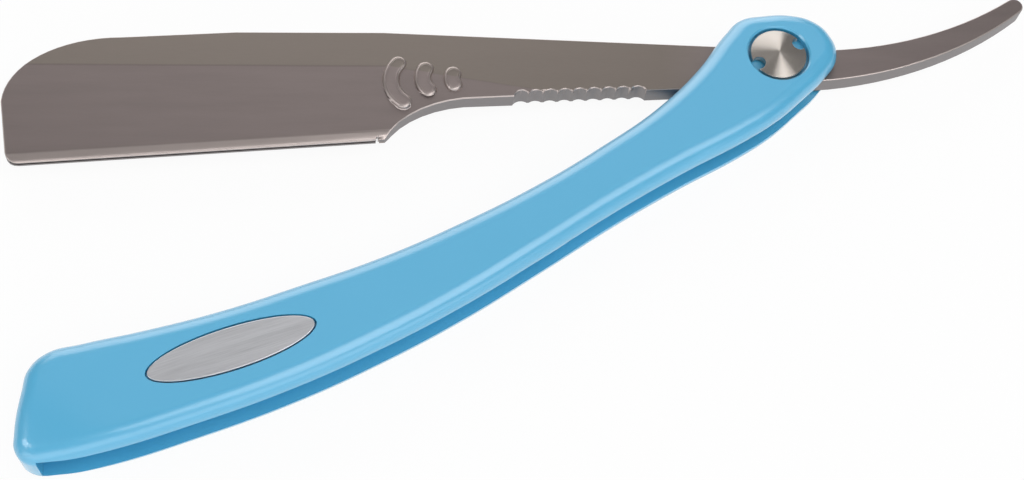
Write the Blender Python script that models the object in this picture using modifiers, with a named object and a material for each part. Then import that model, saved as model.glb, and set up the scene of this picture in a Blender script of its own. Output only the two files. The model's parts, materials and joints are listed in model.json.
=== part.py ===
"""Folding razor that clamps a replaceable blade, part open and lying on its back face.

World X runs along the blade holder from its toe to its tang, world Y points from the cutting edge
to the spine, and world Z points up. The holder and the handle are each drawn about the pivot axis,
in a frame of their own: both reach towards -X, and the handle's frame is turned by the rest angle.
The origin is the middle of the whole razor's underside.
"""
import math

import bmesh
import bpy
from mathutils import Matrix, Vector

MM = 0.001

# Clearances
FIT_GAP = 0.3 * MM
SCREW_RECESS_GAP = 0.43 * MM
BADGE_GAP = 0.25 * MM
SLOT_CLEARANCE = 0.6 * MM
TANG_SWEEP_CLEARANCE = 1.2 * MM
OVERRUN = 3.0 * MM
MERGE_DISTANCE = 0.003 * MM

# Angles of the fold, between the holder's frame and the handle's
CLOSED_ANGLE = math.radians(5.3)
OPENED_ANGLE = math.radians(22.4)
REST_ANGLE = CLOSED_ANGLE + OPENED_ANGLE

# Blade holder: one steel piece with the head, the shank, the eye and the tang
HOLDER_THICKNESS = 2.9 * MM
TOE_REACH = 118.3 * MM
HEEL_REACH = 61.2 * MM
SPINE_RISE = 6.05 * MM
SPINE_END_RISE = 5.05 * MM
TOE_SWEEP_LENGTH = 17.0 * MM
HEAD_LENGTH = TOE_REACH - HEEL_REACH
level_spine_share = 0.57
TOE_SWEEP_DROP = 11.5 * MM
TOE_CORNER_RADIUS = 1.9 * MM
TOE_LEAN = 1.65 * MM
EDGE_DROP_TOE = 16.83 * MM
EDGE_DROP_HEEL = 12.85 * MM
HEEL_SWEEP_LENGTH = 15.5 * MM
HEEL_SWEEP_DROP = 11.0 * MM
SHANK_TOP_RISE = 3.4 * MM
SHANK_EDGE_DROP = 3.85 * MM
SHANK_EDGE_SLOPE = math.radians(2.5)
EYE_RADIUS = 5.2 * MM

# Tang: a tapered bar bent along an arc that starts beside the eye
TANG_START = 3.9 * MM
TANG_BEND_RADIUS = 65.7 * MM
TANG_ARC_LENGTH = 40.0 * MM
TANG_ROOT_WIDTH = 6.05 * MM
TANG_TIP_WIDTH = 2.7 * MM

# Ground faces of the head, thinning from a crease to a rounded lip. The crease is drawn in
# shares of the head's length, counted from its heel.
GRIND_SLOPE = math.radians(2.4)
CREASE_HEIGHT = 1.9 * MM
crease_length_shares = (1.06, 0.94, 0.75, 0.38, 0.21, -0.02, -0.31, -0.45)
crease_height_shares = (-0.1, 0.0, 0.23, 1.0, 0.8, -0.2, -1.75, -2.6)
LIP_HEIGHT = 1.6 * MM
LIP_THICKNESS = 0.35 * MM

# Back jaw: a sprung plate riveted into a pocket in the back of the head
BLADE_GAP = 0.3 * MM
JAW_RISE = 2.2 * MM
FOOT_WIDTH = 1.05 * MM
NOTCH_WIDTH = 0.4 * MM
NOTCH_HEIGHT = 0.4 * MM

# Rivets of the back jaw
RIVET_DROP = 0.5 * MM
RIVET_HEAD_RADIUS = 1.7 * MM
RIVET_HEAD_THICKNESS = 0.45 * MM
RIVET_RADIUS = 1.1 * MM
RIVET_BITE = 0.4 * MM
rivet_length_shares = (0.76, 0.45, 0.14)
RIVET_NAMES = ("jaw_rivet_toe", "jaw_rivet_middle", "jaw_rivet_heel")

# Finger notches along the shank's edge, a little deeper at the front than at the back
NOTCHES = 9
NOTCH_ROW_START = 20.77 * MM
NOTCH_PITCH = 2.27 * MM
NOTCH_FRONT_RADIUS = 1.25 * MM
NOTCH_FRONT_DEPTH = 1.0 * MM
NOTCH_BACK_RADIUS = 1.6 * MM
NOTCH_BACK_DEPTH = 0.75 * MM

# Raised grip pads on the front: three bands along arcs, set back from the heel
PAD_HEIGHT = 0.3 * MM
PAD_SLOPE = 0.4 * MM
PAD_SLOPE_SEGMENTS = 2
LARGE_PAD_SETBACK = 5.66 * MM
LARGE_PAD_DROP = 2.87 * MM
LARGE_PAD_RADIUS = 4.65 * MM
LARGE_PAD_WIDTH = 2.55 * MM
LARGE_PAD_ANGLES = (math.radians(138), math.radians(233.7))
SMALL_PAD_SETBACK = 9.0 * MM
SMALL_PAD_DROP = 2.4 * MM
SMALL_PAD_RADIUS = 3.08 * MM
SMALL_PAD_WIDTH = 2.6 * MM
SMALL_PAD_ANGLES = (math.radians(148.5), math.radians(222.8))
SHORT_PAD_SETBACK = 12.34 * MM
SHORT_PAD_DROP = 2.45 * MM
SHORT_PAD_RADIUS = 1.9 * MM
SHORT_PAD_WIDTH = 2.6 * MM
SHORT_PAD_ANGLES = (math.radians(154.6), math.radians(212))

# Handle: one moulding with a slot right through it, closed by a web at the tail
HANDLE_THICKNESS = 10.0 * MM
TAIL_REACH = 126.6 * MM
HANDLE_WIDTH = 16.0 * MM
EDGE_ROUND = 2.5 * MM
handle_outline_shares = (
    (-0.0795, -0.031), (-0.0725, 0.196), (-0.0500, 0.374), (-0.0205, 0.487), (0.0095, 0.551),
    (0.0350, 0.490), (0.0955, 0.262), (0.1680, 0.079), (0.2627, -0.038), (0.3505, -0.104),
    (0.4580, -0.121), (0.5593, -0.088), (0.6535, 0.003), (0.7437, 0.108), (0.8300, 0.260),
    (0.8900, 0.387), (0.9290, 0.449), (0.9535, 0.378), (0.9680, 0.232), (0.9935, -0.085),
    (1.0000, -0.225), (0.9937, -0.372), (0.9691, -0.474), (0.9256, -0.578), (0.8228, -0.723),
    (0.7120, -0.829), (0.6092, -0.861), (0.4984, -0.839), (0.3956, -0.765), (0.2848, -0.673),
    (0.1899, -0.625), (0.0949, -0.606), (0.0475, -0.567), (0.0000, -0.478), (-0.0445, -0.370),
    (-0.0695, -0.258),
)
SLOT_AT_PIVOT = HOLDER_THICKNESS + 2 * SLOT_CLEARANCE
SLOT_AT_TAIL = 5.4 * MM
TAIL_WEB = 4.4 * MM
SLOT_END_SLANT = math.radians(21.5)

# Stop bridge: the shank's edge comes down on it when the razor is folded
BRIDGE_LENGTH = 4.0 * MM
BRIDGE_HEIGHT = 3.4 * MM

# Pivot: a domed screw from the front, and a nut with a barrel from the back
SCREW_HEAD_RADIUS = 4.4 * MM
SCREW_RIM = 0.7 * MM
SCREW_DOME = 0.7 * MM
DOME_POWER = 1.3
SCREW_SET_DOWN = 0.27 * MM
SCREW_SHANK_RADIUS = 1.2 * MM
SPANNER_NOTCH_RADIUS = 1.05 * MM
SPANNER_NOTCH_INSET = 0.6 * MM
NUT_HEAD_RADIUS = 4.4 * MM
NUT_HEAD_THICKNESS = 0.8 * MM
NUT_SET_IN = 0.25 * MM
BARREL_RADIUS = 2.2 * MM
WASHER_RADIUS = 4.6 * MM
WASHER_THICKNESS = 0.6 * MM
WASHER_FACE = HOLDER_THICKNESS / 2 + FIT_GAP
RECESS_CHAMFER = 0.15 * MM
HEAD_CHAMFER = 0.12 * MM

# Badge: an oval metal plate let into the front of the handle
BADGE_REACH = 95.4 * MM
BADGE_DROP = 4.85 * MM
BADGE_LENGTH = 23.6 * MM
BADGE_WIDTH = 6.2 * MM
BADGE_THICKNESS = 0.6 * MM
BADGE_TILT = math.radians(-9.0)

# Facets
ROUND_STEPS = 40
SMALL_ROUND_STEPS = 20
NOTCH_STEPS = 32
ARC_STEPS = 8
LIP_STEPS = 4
OUTLINE_RESOLUTION = 4
EDGE_ROUND_SEGMENTS = 4
SHARP_ANGLE = math.radians(30)
ROUNDED_ANGLE = math.radians(40)
FLAT_ANGLE = math.radians(1)

MID_HEIGHT = HANDLE_THICKNESS / 2
HOLDER_BACK = MID_HEIGHT - HOLDER_THICKNESS / 2
HOLDER_FRONT = MID_HEIGHT + HOLDER_THICKNESS / 2
BORE_RADIUS = BARREL_RADIUS + FIT_GAP


# Scene and materials

def clear_scene():
    for obj in list(bpy.data.objects):
        bpy.data.objects.remove(obj, do_unlink=True)


def new_collection(name):
    collection = bpy.data.collections.new(name)
    bpy.context.scene.collection.children.link(collection)
    return collection


def new_material(name, colour, roughness, metallic):
    material = bpy.data.materials.new(name)
    material.use_nodes = True
    shader = material.node_tree.nodes["Principled BSDF"]
    shader.inputs["Base Color"].default_value = (*colour, 1.0)
    shader.inputs["Roughness"].default_value = roughness
    shader.inputs["Metallic"].default_value = metallic
    return material


def new_empty(name, parent=None, turn=0.0):
    empty = bpy.data.objects.new(name, None)
    parts.objects.link(empty)
    empty.parent = parent
    empty.rotation_euler.z = turn
    return empty


def add_part(name, mesh, material, parent):
    mesh.name = name
    obj = bpy.data.objects.new(name, mesh)
    parts.objects.link(obj)
    obj.parent = parent
    mesh.materials.append(material)
    mesh.shade_smooth()
    mesh.set_sharp_from_angle(angle=SHARP_ANGLE)
    return obj


def add_tool(name, mesh, parent):
    mesh.name = name
    obj = bpy.data.objects.new(name, mesh)
    tools.objects.link(obj)
    obj.parent = parent
    obj.hide_render = True
    obj.display_type = "WIRE"
    return obj


def combine(obj, tool, operation="DIFFERENCE"):
    modifier = obj.modifiers.new(tool.name, "BOOLEAN")
    modifier.operation = operation
    modifier.object = tool
    return modifier


def round_edges(obj, width, segments):
    modifier = obj.modifiers.new("rounded edges", "BEVEL")
    modifier.width = width
    modifier.segments = segments
    modifier.limit_method = "ANGLE"
    modifier.angle_limit = ROUNDED_ANGLE
    modifier.use_clamp_overlap = False
    return modifier


# Shapes

def mesh_from_bmesh(bm):
    mesh = bpy.data.meshes.new("solid")
    bm.to_mesh(mesh)
    bm.free()
    return mesh


def arc(centre, radius_x, radius_y, start, end, steps=ARC_STEPS):
    angles = (start + (end - start) * step / steps for step in range(steps + 1))
    return [(centre[0] + radius_x * math.cos(a), centre[1] + radius_y * math.sin(a)) for a in angles]


def outline_mesh(points, low, high, smooth=False):
    """Solid with a flat outline. Smooth outlines are curves through their points."""
    curve = bpy.data.curves.new("outline", "CURVE")
    curve.dimensions = "2D"
    curve.fill_mode = "BOTH"
    curve.extrude = (high - low) / 2
    curve.resolution_u = OUTLINE_RESOLUTION
    spline = curve.splines.new("BEZIER" if smooth else "POLY")
    knots = spline.bezier_points if smooth else spline.points
    knots.add(len(points) - 1)
    for knot, (x, y) in zip(knots, points):
        if smooth:
            knot.co = (x, y, 0)
            knot.handle_left_type = "AUTO"
            knot.handle_right_type = "AUTO"
        else:
            knot.co = (x, y, 0, 1)
    spline.use_cyclic_u = True
    holder = bpy.data.objects.new("outline", curve)
    tools.objects.link(holder)
    graph = bpy.context.evaluated_depsgraph_get()
    mesh = bpy.data.meshes.new_from_object(holder.evaluated_get(graph))
    bpy.data.objects.remove(holder, do_unlink=True)
    bm = bmesh.new()
    bm.from_mesh(mesh)
    bmesh.ops.remove_doubles(bm, verts=bm.verts, dist=MERGE_DISTANCE)
    bmesh.ops.dissolve_limit(bm, angle_limit=FLAT_ANGLE, verts=bm.verts, edges=bm.edges)
    bmesh.ops.translate(bm, verts=bm.verts, vec=(0, 0, (low + high) / 2))
    bmesh.ops.recalc_face_normals(bm, faces=bm.faces)
    bm.to_mesh(mesh)
    bm.free()
    return mesh


def box_mesh(low, high):
    bm = bmesh.new()
    bmesh.ops.create_cube(bm, size=1)
    for vert in bm.verts:
        vert.co = [a + (b - a) * (c + 0.5) for a, b, c in zip(low, high, vert.co)]
    return mesh_from_bmesh(bm)


def disc_mesh(places, radius, low, high, steps=SMALL_ROUND_STEPS):
    """One upright cylinder at each place."""
    bm = bmesh.new()
    for x, y in places:
        place = Matrix.Translation((x, y, (low + high) / 2))
        bmesh.ops.create_cone(bm, cap_ends=True, segments=steps, radius1=radius, radius2=radius,
                              depth=high - low, matrix=place)
    return mesh_from_bmesh(bm)


def oval_mesh(centre, length, width, turn, low, high):
    bm = bmesh.new()
    bmesh.ops.create_cone(bm, cap_ends=True, segments=ROUND_STEPS, radius1=0.5, radius2=0.5, depth=1)
    bmesh.ops.scale(bm, verts=bm.verts, vec=(length, width, high - low))
    bmesh.ops.rotate(bm, verts=bm.verts, matrix=Matrix.Rotation(turn, 3, "Z"))
    bmesh.ops.translate(bm, verts=bm.verts, vec=(*centre, (low + high) / 2))
    return mesh_from_bmesh(bm)


def profile_mesh(points):
    """Line of (radius, height) points for the Screw modifier, from the top down the outer side."""
    bm = bmesh.new()
    verts = [bm.verts.new((radius, 0, height)) for radius, height in points]
    for first, second in zip(verts, verts[1:]):
        bm.edges.new((first, second))
    return mesh_from_bmesh(bm)


def turn_about_axis(obj, steps=ROUND_STEPS):
    modifier = obj.modifiers.new("turned", "SCREW")
    modifier.axis = "Z"
    modifier.steps = steps
    modifier.render_steps = steps
    modifier.use_merge_vertices = True
    modifier.merge_threshold = MERGE_DISTANCE
    modifier.use_smooth_shade = True
    return modifier


def loft_mesh(sections):
    """Solid through a row of sections that have the same number of points."""
    bm = bmesh.new()
    rings = [[bm.verts.new(point) for point in section] for section in sections]
    count = len(rings[0])
    for ring, following in zip(rings, rings[1:]):
        for i in range(count):
            j = (i + 1) % count
            bm.faces.new((ring[i], ring[j], following[j], following[i]))
    bm.faces.new(rings[0])
    bm.faces.new(rings[-1])
    bmesh.ops.recalc_face_normals(bm, faces=bm.faces)
    return mesh_from_bmesh(bm)


# Holder outline

def shank_edge(reach):
    """Height of the shank's lower edge at a distance from the pivot towards the toe."""
    level = -SHANK_EDGE_DROP - reach * math.tan(SHANK_EDGE_SLOPE)
    start = HEEL_REACH - HEEL_SWEEP_LENGTH * HEEL_SWEEP_SPAN
    if reach <= start:
        return level
    along = (reach - start) / HEEL_SWEEP_LENGTH
    level_at_start = -SHANK_EDGE_DROP - start * math.tan(SHANK_EDGE_SLOPE)
    return level_at_start - HEEL_SWEEP_DROP * (1 - math.sqrt(1 - along * along))


def heel_sweep_angle():
    """Angle on the heel's elliptical sweep at which it meets the cutting edge."""
    level = -SHANK_EDGE_DROP - (HEEL_REACH - HEEL_SWEEP_LENGTH) * math.tan(SHANK_EDGE_SLOPE)
    fall = EDGE_DROP_HEEL + level
    return math.pi - math.asin(1 - fall / HEEL_SWEEP_DROP)


HEEL_SWEEP_END = heel_sweep_angle()
HEEL_SWEEP_SPAN = -math.cos(HEEL_SWEEP_END)


def edge_height(x):
    """Height of the cutting edge's line."""
    toe_corner = -TOE_REACH + TOE_LEAN
    share = (x - toe_corner) / (-HEEL_REACH - toe_corner)
    return -EDGE_DROP_TOE + (EDGE_DROP_TOE - EDGE_DROP_HEEL) * share


def tang_edge(side, steps=ARC_STEPS * 2):
    points = []
    for step in range(steps + 1):
        share = step / steps
        angle = share * TANG_ARC_LENGTH / TANG_BEND_RADIUS
        half = (TANG_ROOT_WIDTH + (TANG_TIP_WIDTH - TANG_ROOT_WIDTH) * share) / 2
        x = TANG_START + TANG_BEND_RADIUS * math.sin(angle)
        y = TANG_BEND_RADIUS * (1 - math.cos(angle))
        points.append((x - side * half * math.sin(angle), y + side * half * math.cos(angle)))
    return points


def tang_tip():
    """Centre of the tang's round tip, and the angle that the tang has turned through there."""
    angle = TANG_ARC_LENGTH / TANG_BEND_RADIUS
    x = TANG_START + TANG_BEND_RADIUS * math.sin(angle)
    return (x, TANG_BEND_RADIUS * (1 - math.cos(angle))), angle


def tang_reach():
    centre, _ = tang_tip()
    return math.hypot(*centre) + TANG_TIP_WIDTH / 2


def toe_corner():
    """Round corner between the toe and the cutting edge."""
    lean = math.atan2(TOE_LEAN, EDGE_DROP_TOE - TOE_SWEEP_DROP + SPINE_END_RISE)
    slope = math.atan2(EDGE_DROP_TOE - EDGE_DROP_HEEL, TOE_REACH - TOE_LEAN - HEEL_REACH)
    corner = Vector((-TOE_REACH + TOE_LEAN, -EDGE_DROP_TOE))
    along_edge = Vector((math.cos(slope), math.sin(slope)))
    along_toe = Vector((-math.sin(lean), math.cos(lean)))
    half_angle = along_edge.angle(along_toe) / 2
    inward = (along_edge + along_toe).normalized()
    centre = corner + inward * (TOE_CORNER_RADIUS / math.sin(half_angle))
    return arc(centre, TOE_CORNER_RADIUS, TOE_CORNER_RADIUS,
               -math.pi / 2 + slope, -math.pi + lean, ARC_STEPS // 2)


def holder_outline():
    sweep_centre = (-TOE_REACH + TOE_SWEEP_LENGTH, SPINE_END_RISE - TOE_SWEEP_DROP)
    heel_start = HEEL_REACH - HEEL_SWEEP_LENGTH * HEEL_SWEEP_SPAN
    heel_centre = (-heel_start, shank_edge(heel_start) - HEEL_SWEEP_DROP)
    tip_centre, tip_angle = tang_tip()
    eye_top = math.asin(SHANK_TOP_RISE / EYE_RADIUS)
    eye_under = math.asin(SHANK_EDGE_DROP / EYE_RADIUS)
    tang_root = math.asin(TANG_ROOT_WIDTH / 2 / EYE_RADIUS)
    quarter = math.pi / 2
    points = [(-HEEL_REACH, edge_height(-HEEL_REACH))]
    points += toe_corner()
    points += arc(sweep_centre, TOE_SWEEP_LENGTH, TOE_SWEEP_DROP, math.pi, quarter, ARC_STEPS * 2)
    level_spine = (HEAD_LENGTH - TOE_SWEEP_LENGTH) * level_spine_share
    points += [(-HEEL_REACH - level_spine, SPINE_RISE), (-HEEL_REACH, SPINE_RISE)]
    points += arc((0, 0), EYE_RADIUS, EYE_RADIUS, math.pi - eye_top, tang_root)
    points += tang_edge(1)[2:]
    points += arc(tip_centre, TANG_TIP_WIDTH / 2, TANG_TIP_WIDTH / 2,
                  tip_angle + quarter, tip_angle - quarter)[1:-1]
    points += tang_edge(-1)[:1:-1]
    points += arc((0, 0), EYE_RADIUS, EYE_RADIUS, -tang_root, eye_under - math.pi)
    points += arc(heel_centre, HEEL_SWEEP_LENGTH, HEEL_SWEEP_DROP, quarter, HEEL_SWEEP_END)[:-1]
    return points


def grind_tool_mesh(side):
    """Grinding cut of the front face (side 1) or the back face (side -1) below the crease."""
    half = HOLDER_THICKNESS / 2
    fall = math.tan(GRIND_SLOPE)
    lip = BLADE_GAP / 2 + LIP_THICKNESS
    sections = []
    for length_share, height_share in zip(crease_length_shares, crease_height_shares):
        x = -HEEL_REACH - HEAD_LENGTH * length_share
        crease = CREASE_HEIGHT * height_share
        edge = edge_height(x)
        shoulder = half - fall * (crease - edge - LIP_HEIGHT)
        profile = [(crease + OVERRUN, half + OVERRUN * fall)]
        for step in range(LIP_STEPS + 1):
            share = step / LIP_STEPS
            flat = shoulder - fall * LIP_HEIGHT * share
            drop = (shoulder - fall * LIP_HEIGHT - lip) * share * share
            profile.append((edge + LIP_HEIGHT * (1 - share), flat - drop))
        profile += [
            (edge - OVERRUN, lip),
            (edge - OVERRUN, half + OVERRUN),
            (crease + OVERRUN, half + OVERRUN),
        ]
        sections.append([(x, y, MID_HEIGHT + side * z) for y, z in profile])
    return loft_mesh(sections)


def jaw_zone_mesh(shrink):
    """Space of the back jaw. The pocket has no shrink, and the jaw is smaller by it all round."""
    inner = MID_HEIGHT + BLADE_GAP / 2
    if shrink:
        inner -= BLADE_GAP
    low = (-TOE_REACH - OVERRUN, -EDGE_DROP_TOE - OVERRUN, HOLDER_BACK - OVERRUN)
    high = (-HEEL_REACH - FOOT_WIDTH - shrink, JAW_RISE - shrink, inner)
    return box_mesh(low, high)


def band_outline(setback, drop, radius, width, angles):
    """Outline of a band along an arc, with round ends."""
    centre = (-HEEL_REACH + setback, -drop)
    start, end = angles
    outer = radius + width / 2
    inner = radius - width / 2
    points = arc(centre, outer, outer, start, end)
    for angle, returning in ((end, False), (start, True)):
        cap = (centre[0] + radius * math.cos(angle), centre[1] + radius * math.sin(angle))
        turn = angle + math.pi if returning else angle
        points += arc(cap, width / 2, width / 2, turn, turn + math.pi)[1:-1]
        if not returning:
            points += arc(centre, inner, inner, end, start)
    return points


# Pieces of the holder

def rivet_places():
    height = JAW_RISE - FIT_GAP - RIVET_HEAD_RADIUS - RIVET_DROP
    return [(-HEEL_REACH - HEAD_LENGTH * share, height) for share in rivet_length_shares]


def finger_notch_mesh(first):
    """Cutters for every second notch, as neighbours overlap. Each is wider towards the back."""
    bm = bmesh.new()
    for i in range(first, NOTCHES, 2):
        reach = NOTCH_ROW_START + (i + 0.5) * NOTCH_PITCH
        rings = []
        for z in (HOLDER_BACK - OVERRUN, HOLDER_FRONT + OVERRUN):
            share = (z - HOLDER_BACK) / HOLDER_THICKNESS
            radius = NOTCH_BACK_RADIUS + (NOTCH_FRONT_RADIUS - NOTCH_BACK_RADIUS) * share
            depth = NOTCH_BACK_DEPTH + (NOTCH_FRONT_DEPTH - NOTCH_BACK_DEPTH) * share
            centre = (-reach, shank_edge(reach) + depth - radius)
            ring = arc(centre, radius, radius, 0, 2 * math.pi, NOTCH_STEPS)[:-1]
            rings.append([bm.verts.new((x, y, z)) for x, y in ring])
        bm.faces.new(rings[0])
        bm.faces.new(rings[1])
        for j in range(NOTCH_STEPS):
            k = (j + 1) % NOTCH_STEPS
            bm.faces.new((rings[0][j], rings[0][k], rings[1][k], rings[1][j]))
    bmesh.ops.recalc_face_normals(bm, faces=bm.faces)
    return mesh_from_bmesh(bm)


def make_holder_blank(name, material):
    blank = add_part(name, outline_mesh(holder_outline(), HOLDER_BACK, HOLDER_FRONT),
                     material, holder_frame)
    for side, label in ((1, "front"), (-1, "back")):
        tool = add_tool(name + "_" + label + "_grind", grind_tool_mesh(side), holder_frame)
        combine(blank, tool)
    return blank


def make_blade_holder(material):
    holder = make_holder_blank("blade_holder", material)
    combine(holder, add_tool("jaw_pocket", jaw_zone_mesh(0), holder_frame))

    low = HOLDER_BACK - OVERRUN
    high = HOLDER_FRONT + OVERRUN
    combine(holder, add_tool("eye_bore", disc_mesh([(0, 0)], BORE_RADIUS, low, high), holder_frame))

    combine(holder, add_tool("odd_finger_notches", finger_notch_mesh(0), holder_frame))
    combine(holder, add_tool("even_finger_notches", finger_notch_mesh(1), holder_frame))

    bite_top = MID_HEIGHT + BLADE_GAP / 2 + RIVET_BITE + FIT_GAP
    combine(holder, add_tool("rivet_bites", disc_mesh(rivet_places(), RIVET_RADIUS + FIT_GAP,
                                                      MID_HEIGHT, bite_top), holder_frame))

    notch_middle = -HEEL_REACH - FOOT_WIDTH
    notch_level = edge_height(notch_middle)
    notch_low = (notch_middle - NOTCH_WIDTH / 2, notch_level - OVERRUN, low)
    notch_high = (notch_middle + NOTCH_WIDTH / 2, notch_level + NOTCH_HEIGHT, high)
    combine(holder, add_tool("heel_notch", box_mesh(notch_low, notch_high), holder_frame))

    add_grip_pads(holder)
    return holder


def add_grip_pads(holder):
    # The ground faces twist slightly, so they are split into flat triangles before the unions
    holder.modifiers.new("flat faces", "TRIANGULATE")
    embed = HOLDER_FRONT - HOLDER_THICKNESS / 4
    top = HOLDER_FRONT + PAD_HEIGHT
    large = band_outline(LARGE_PAD_SETBACK, LARGE_PAD_DROP, LARGE_PAD_RADIUS, LARGE_PAD_WIDTH,
                         LARGE_PAD_ANGLES)
    small = band_outline(SMALL_PAD_SETBACK, SMALL_PAD_DROP, SMALL_PAD_RADIUS, SMALL_PAD_WIDTH,
                         SMALL_PAD_ANGLES)
    short = band_outline(SHORT_PAD_SETBACK, SHORT_PAD_DROP, SHORT_PAD_RADIUS, SHORT_PAD_WIDTH,
                         SHORT_PAD_ANGLES)
    for name, outline in (("large_pad", large), ("small_pad", small), ("short_pad", short)):
        pad = add_tool(name, outline_mesh(outline, embed, top), holder_frame)
        round_edges(pad, PAD_SLOPE, PAD_SLOPE_SEGMENTS)
        combine(holder, pad, "UNION")


def make_back_jaw(material):
    jaw = make_holder_blank("back_jaw", material)
    combine(jaw, add_tool("jaw_space", jaw_zone_mesh(FIT_GAP), holder_frame), "INTERSECT")
    low = HOLDER_BACK - OVERRUN
    sink = HOLDER_BACK + RIVET_HEAD_THICKNESS + FIT_GAP
    combine(jaw, add_tool("rivet_sinks", disc_mesh(rivet_places(), RIVET_HEAD_RADIUS + FIT_GAP,
                                                   low, sink), holder_frame))
    combine(jaw, add_tool("rivet_holes", disc_mesh(rivet_places(), RIVET_RADIUS + FIT_GAP,
                                                   low, HOLDER_FRONT), holder_frame))
    return jaw


def make_jaw_rivets(material):
    end = MID_HEIGHT + BLADE_GAP / 2 + RIVET_BITE
    neck = HOLDER_BACK + RIVET_HEAD_THICKNESS
    profile = ((0, end), (RIVET_RADIUS - HEAD_CHAMFER, end), (RIVET_RADIUS, end - HEAD_CHAMFER),
               (RIVET_RADIUS, neck), (RIVET_HEAD_RADIUS, neck),
               (RIVET_HEAD_RADIUS, HOLDER_BACK + HEAD_CHAMFER),
               (RIVET_HEAD_RADIUS - HEAD_CHAMFER, HOLDER_BACK), (0, HOLDER_BACK))
    for name, place in zip(RIVET_NAMES, rivet_places()):
        rivet = add_part(name, profile_mesh(profile), material, holder_frame)
        rivet.location = (*place, 0)
        turn_about_axis(rivet, SMALL_ROUND_STEPS)


# Pieces of the handle

def slot_half(reach):
    """Half of the slot's width at a distance from the pivot towards the tail."""
    return (SLOT_AT_PIVOT + (SLOT_AT_TAIL - SLOT_AT_PIVOT) * reach / TAIL_REACH) / 2


def slot_tool_mesh():
    """The slot narrows towards the pivot, and its end wall slants with the tail."""
    end_reach = TAIL_REACH - TAIL_WEB
    slant = math.tan(SLOT_END_SLANT)
    sections = []
    for reach in (-HANDLE_WIDTH, end_reach):
        half = slot_half(reach)
        shift = slant if reach > 0 else 0
        corners = ((-HANDLE_WIDTH, -half), (HANDLE_WIDTH, -half), (HANDLE_WIDTH, half),
                   (-HANDLE_WIDTH, half))
        sections.append([(-reach + y * shift, y, MID_HEIGHT + z) for y, z in corners])
    return loft_mesh(sections)


def bridge_mesh():
    near = tang_reach() + TANG_SWEEP_CLEARANCE
    far = near + BRIDGE_LENGTH
    turn = math.sin(CLOSED_ANGLE)
    level = math.cos(CLOSED_ANGLE)
    top = min(reach * turn + shank_edge(reach) * level for reach in (near, far)) - FIT_GAP
    half = slot_half(far) + (HANDLE_THICKNESS / 2 - slot_half(far)) / 3
    return box_mesh((-far, top - BRIDGE_HEIGHT, MID_HEIGHT - half), (-near, top, MID_HEIGHT + half))


def pivot_bore_profile():
    """Turned cut through both halves: screw recess, barrel bore, washer seats and nut recess."""
    screw_recess = SCREW_HEAD_RADIUS + SCREW_RECESS_GAP
    nut_recess = NUT_HEAD_RADIUS + SCREW_RECESS_GAP
    screw_floor = HANDLE_THICKNESS - SCREW_SET_DOWN - SCREW_RIM - FIT_GAP
    nut_floor = NUT_SET_IN + NUT_HEAD_THICKNESS + FIT_GAP
    seat_radius = WASHER_RADIUS + FIT_GAP
    seat_depth = WASHER_FACE + WASHER_THICKNESS + FIT_GAP
    return (
        (0, HANDLE_THICKNESS + OVERRUN),
        (screw_recess + RECESS_CHAMFER, HANDLE_THICKNESS + OVERRUN),
        (screw_recess + RECESS_CHAMFER, HANDLE_THICKNESS),
        (screw_recess, HANDLE_THICKNESS - RECESS_CHAMFER),
        (screw_recess, screw_floor),
        (BORE_RADIUS, screw_floor),
        (BORE_RADIUS, MID_HEIGHT + seat_depth),
        (seat_radius, MID_HEIGHT + seat_depth),
        (seat_radius, MID_HEIGHT - seat_depth),
        (BORE_RADIUS, MID_HEIGHT - seat_depth),
        (BORE_RADIUS, nut_floor),
        (nut_recess, nut_floor),
        (nut_recess, -OVERRUN),
        (0, -OVERRUN),
    )


def badge_centre():
    return (-BADGE_REACH, -BADGE_DROP)


def make_handle(material):
    outline = [(-x * TAIL_REACH, y * HANDLE_WIDTH) for x, y in handle_outline_shares]
    handle = add_part("handle", outline_mesh(outline, 0, HANDLE_THICKNESS, smooth=True),
                      material, handle_frame)
    round_edges(handle, EDGE_ROUND, EDGE_ROUND_SEGMENTS)
    combine(handle, add_tool("slot", slot_tool_mesh(), handle_frame))
    combine(handle, add_tool("stop_bridge", bridge_mesh(), handle_frame), "UNION")
    bore = add_tool("pivot_bores", profile_mesh(pivot_bore_profile()), handle_frame)
    turn_about_axis(bore)
    combine(handle, bore)
    floor = HANDLE_THICKNESS - BADGE_THICKNESS - FIT_GAP
    pocket = oval_mesh(badge_centre(), BADGE_LENGTH + 2 * BADGE_GAP, BADGE_WIDTH + 2 * BADGE_GAP,
                       BADGE_TILT, floor, HANDLE_THICKNESS + OVERRUN)
    combine(handle, add_tool("badge_pocket", pocket, handle_frame))
    return handle


def make_badge_plate(material):
    plate = oval_mesh(badge_centre(), BADGE_LENGTH, BADGE_WIDTH, BADGE_TILT,
                      HANDLE_THICKNESS - BADGE_THICKNESS, HANDLE_THICKNESS)
    badge = add_part("badge_plate", plate, material, handle_frame)
    round_edges(badge, HEAD_CHAMFER, 1)
    return badge


# Pieces of the pivot

def cut_spanner_notches(head, name, rim_radius, low, high):
    """Two round notches in the rim of a head, in line with the handle."""
    centre = rim_radius - SPANNER_NOTCH_INSET
    places = [(-centre, 0), (centre, 0)]
    combine(head, add_tool(name, disc_mesh(places, SPANNER_NOTCH_RADIUS, low, high), handle_frame))


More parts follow.
